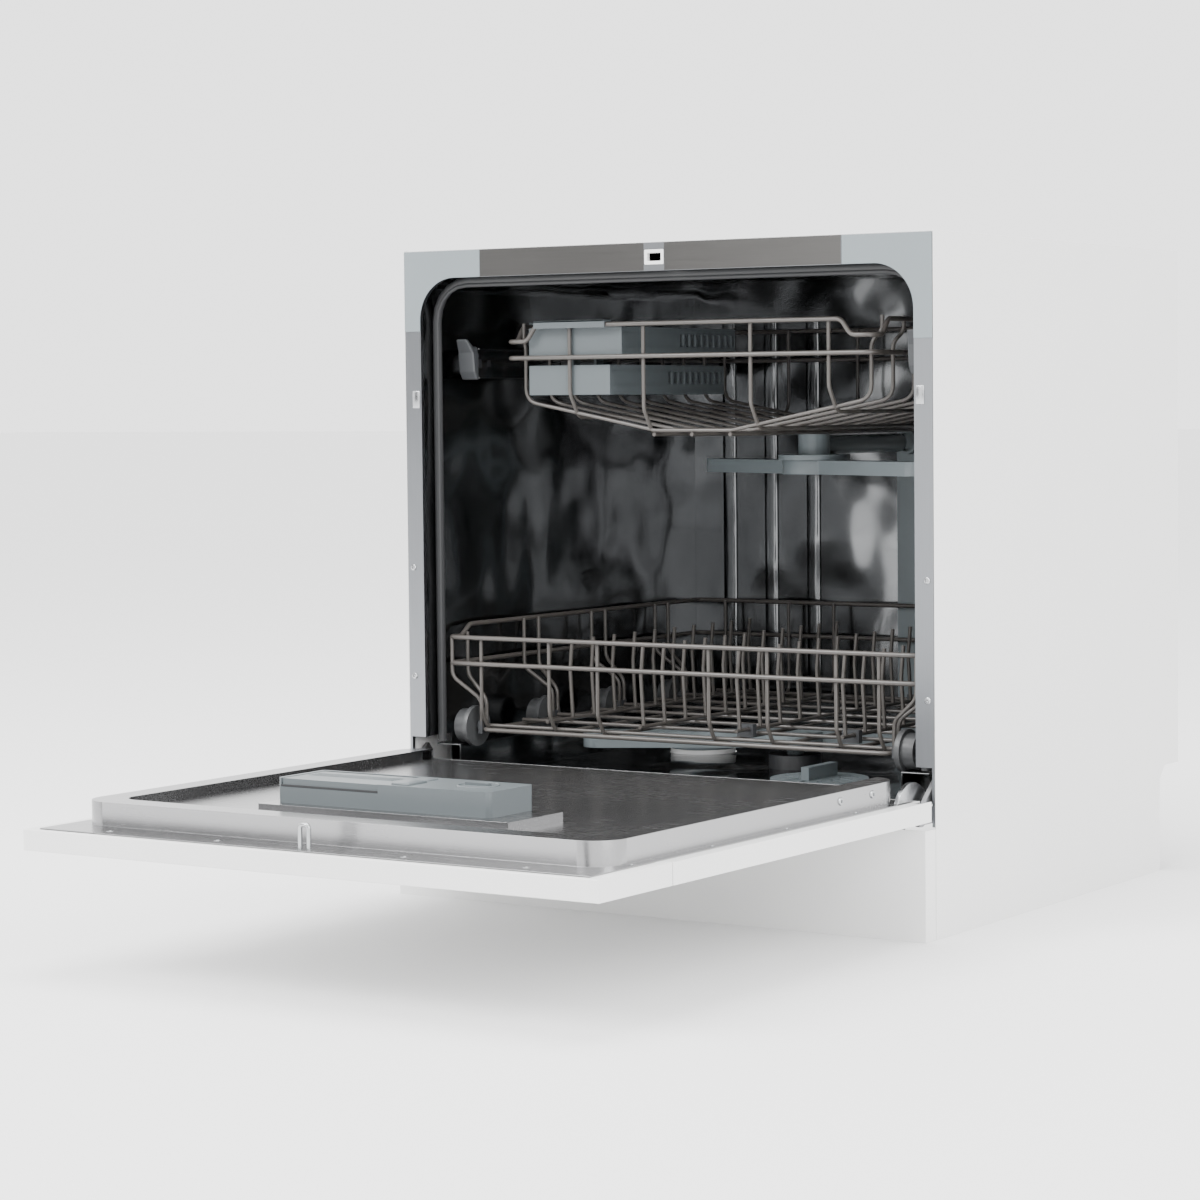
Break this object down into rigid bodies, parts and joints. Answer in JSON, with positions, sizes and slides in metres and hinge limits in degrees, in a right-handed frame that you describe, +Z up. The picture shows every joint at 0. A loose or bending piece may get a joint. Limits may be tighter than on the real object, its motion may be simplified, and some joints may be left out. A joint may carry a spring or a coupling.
{
  "type": "built-in dishwasher",
  "caption": "Compact built-in dishwasher with a drop-down door, pull-out upper and lower racks, spray arms and a detergent dispenser.",
  "frame": {"origin": "on the floor, under the centre of the cabinet", "axes": "+Z up, -Y out of the front, +X to the right seen from the front"},
  "size_m": [0.55, 0.992, 0.59],
  "materials": {
    "painted_white": "gloss",
    "steel": "brushed",
    "grey_plastic": "matte",
    "dark_plastic": "matte",
    "white_plastic": "gloss",
    "nylon_coat": "satin",
    "seal_rubber": "matte",
    "wheel_plastic": "matte"
  },
  "bodies": {
    "cabinet": {"side_panel_left": "painted_white", "side_panel_right": "painted_white", "top_panel": "painted_white", "back_panel": "steel", "base_tray": "dark_plastic", "levelling_feet": "dark_plastic", "plinth_panel": "painted_white", "front_frame": "steel", "corner_trims": "grey_plastic", "latch_keeper": "white_plastic", "door_gasket": "seal_rubber", "tub_wrapper": "steel", "tub_back": "steel", "tub_floor": "steel", "sump": "dark_plastic", "softener": "white_plastic", "spray_riser": "grey_plastic", "circulation_pump": "dark_plastic", "inlet_valve": "white_plastic", "hinge_brackets": "steel", "guide_axles": "steel"},
    "door": {"hinge_arms": "steel", "hinge_covers": "steel", "door_decor_panel": "painted_white", "door_fascia": "white_plastic", "door_liner": "steel", "dispenser_body": "grey_plastic", "latch_strike": "steel"},
    "dispenser_lid": {"dispenser_lid": "grey_plastic"},
    "rinse_cap": {"rinse_cap": "grey_plastic"},
    "power_button": {"power_button": "grey_plastic"},
    "start_button": {"start_button": "grey_plastic"},
    "filter": {"filter": "grey_plastic"},
    "salt_cap": {"salt_cap": "grey_plastic"},
    "lower_spray_arm": {"lower_spray_arm": "grey_plastic"},
    "lower_rack": {"lower_rack_sides": "nylon_coat", "lower_rack_ends": "nylon_coat", "lower_rack_floor": "nylon_coat", "rack_fittings": "grey_plastic", "fixed_tines": "nylon_coat"},
    "folding_tines_inner": {"folding_tines_inner": "nylon_coat"},
    "folding_tines_outer": {"folding_tines_outer": "nylon_coat"},
    "upper_rails": {"upper_rails": "steel", "rail_end_caps": "grey_plastic"},
    "upper_rack": {"upper_rack_sides": "nylon_coat", "upper_rack_ends": "nylon_coat", "upper_rack_floor": "nylon_coat", "roller_brackets": "grey_plastic", "upper_feed_pipe": "grey_plastic", "cutlery_tray_upper": "grey_plastic", "cutlery_tray_lower": "grey_plastic"},
    "upper_spray_arm": {"upper_spray_arm": "grey_plastic"},
    "lower_wheels_1": {"lower_wheels_1": "wheel_plastic"},
    "lower_wheels_2": {"lower_wheels_2": "wheel_plastic"},
    "lower_wheels_3": {"lower_wheels_3": "wheel_plastic"},
    "lower_wheels_4": {"lower_wheels_4": "wheel_plastic"},
    "guide_rollers_1": {"guide_rollers_1": "wheel_plastic"},
    "rack_rollers_1": {"rack_rollers_1": "wheel_plastic"},
    "guide_rollers_2": {"guide_rollers_2": "wheel_plastic"},
    "rack_rollers_2": {"rack_rollers_2": "wheel_plastic"}
  },
  "joints": [
    {"name": "door_hinge", "type": "hinge", "parent": "cabinet", "child": "door", "pos_m": [0, -0.2605, 0.105], "axis": [-1, 0, 0], "range_deg": [0, 90]},
    {"name": "lower_rack_slide", "type": "slide", "parent": "cabinet", "child": "lower_rack", "axis": [0, 1, 0], "range_m": [-0.345, 0]},
    {"name": "upper_rails_slide", "type": "slide", "parent": "cabinet", "child": "upper_rails", "axis": [0, 1, 0], "range_m": [-0.184, 0]},
    {"name": "upper_rack_slide", "type": "slide", "parent": "upper_rails", "child": "upper_rack", "axis": [0, 1, 0], "range_m": [-0.01, 0.01]},
    {"name": "lower_spray_arm_spin", "type": "hinge", "parent": "cabinet", "child": "lower_spray_arm", "pos_m": [0, -0.0125, 0.133], "axis": [0, 0, 1], "continuous": true},
    {"name": "upper_spray_arm_spin", "type": "hinge", "parent": "upper_rack", "child": "upper_spray_arm", "pos_m": [0, 0.0265, 0.388], "axis": [0, 0, 1], "continuous": true},
    {"name": "filter_turn", "type": "hinge", "parent": "cabinet", "child": "filter", "pos_m": [0.07, -0.0875, 0.1], "axis": [0, 0, 1], "range_deg": [0, 90]},
    {"name": "salt_cap_turn", "type": "hinge", "parent": "cabinet", "child": "salt_cap", "pos_m": [-0.15, 0.0625, 0.11], "axis": [0, 0, 1], "range_deg": [0, 360]},
    {"name": "dispenser_lid_hinge", "type": "hinge", "parent": "door", "child": "dispenser_lid", "pos_m": [-0.06, -0.579, 0.152], "axis": [1, 0, 0], "range_deg": [-85, 0]},
    {"name": "rinse_cap_turn", "type": "hinge", "parent": "door", "child": "rinse_cap", "pos_m": [0.062, -0.5965, 0.155], "axis": [0, 0, 1], "range_deg": [0, 90]},
    {"name": "power_button_press", "type": "slide", "parent": "door", "child": "power_button", "axis": [0, 0, 1], "range_m": [0, 0.003], "stiffness_N_per_m": 400, "springref_m": -0.001},
    {"name": "start_button_press", "type": "slide", "parent": "door", "child": "start_button", "axis": [0, 0, 1], "range_m": [0, 0.003], "stiffness_N_per_m": 400, "springref_m": -0.001},
    {"name": "folding_tines_inner_fold", "type": "hinge", "parent": "lower_rack", "child": "folding_tines_inner", "pos_m": [0.044, 0, 0.1583], "axis": [0, -1, 0], "range_deg": [0, 84]},
    {"name": "folding_tines_outer_fold", "type": "hinge", "parent": "lower_rack", "child": "folding_tines_outer", "pos_m": [0.152, 0, 0.1583], "axis": [0, -1, 0], "range_deg": [0, 84]},
    {"name": "lower_wheels_1_spin", "type": "hinge", "parent": "lower_rack", "child": "lower_wheels_1", "pos_m": [0, -0.2085, 0.1525], "axis": [1, 0, 0], "continuous": true},
    {"name": "lower_wheels_2_spin", "type": "hinge", "parent": "lower_rack", "child": "lower_wheels_2", "pos_m": [0, -0.0945, 0.1525], "axis": [1, 0, 0], "continuous": true},
    {"name": "lower_wheels_3_spin", "type": "hinge", "parent": "lower_rack", "child": "lower_wheels_3", "pos_m": [0, 0.0195, 0.1525], "axis": [1, 0, 0], "continuous": true},
    {"name": "lower_wheels_4_spin", "type": "hinge", "parent": "lower_rack", "child": "lower_wheels_4", "pos_m": [0, 0.1335, 0.1525], "axis": [1, 0, 0], "continuous": true},
    {"name": "guide_rollers_1_spin", "type": "hinge", "parent": "cabinet", "child": "guide_rollers_1", "pos_m": [0, -0.174, 0.487], "axis": [1, 0, 0], "continuous": true},
    {"name": "guide_rollers_2_spin", "type": "hinge", "parent": "cabinet", "child": "guide_rollers_2", "pos_m": [0, -0.0565, 0.487], "axis": [1, 0, 0], "continuous": true},
    {"name": "rack_rollers_1_spin", "type": "hinge", "parent": "upper_rack", "child": "rack_rollers_1", "pos_m": [0, -0.0415, 0.487], "axis": [1, 0, 0], "continuous": true},
    {"name": "rack_rollers_2_spin", "type": "hinge", "parent": "upper_rack", "child": "rack_rollers_2", "pos_m": [0, 0.1535, 0.487], "axis": [1, 0, 0], "continuous": true}
  ],
  "couplings": [
    {"joint": "lower_wheels_1_spin", "follows": "lower_rack_slide", "rad_per_m": -64.516},
    {"joint": "lower_wheels_2_spin", "follows": "lower_rack_slide", "rad_per_m": -64.516},
    {"joint": "lower_wheels_3_spin", "follows": "lower_rack_slide", "rad_per_m": -64.516},
    {"joint": "lower_wheels_4_spin", "follows": "lower_rack_slide", "rad_per_m": -64.516},
    {"joint": "guide_rollers_1_spin", "follows": "upper_rails_slide", "rad_per_m": -83.333},
    {"joint": "guide_rollers_2_spin", "follows": "upper_rails_slide", "rad_per_m": -83.333},
    {"joint": "rack_rollers_1_spin", "follows": "upper_rack_slide", "rad_per_m": -83.333},
    {"joint": "rack_rollers_2_spin", "follows": "upper_rack_slide", "rad_per_m": -83.333}
  ]
}
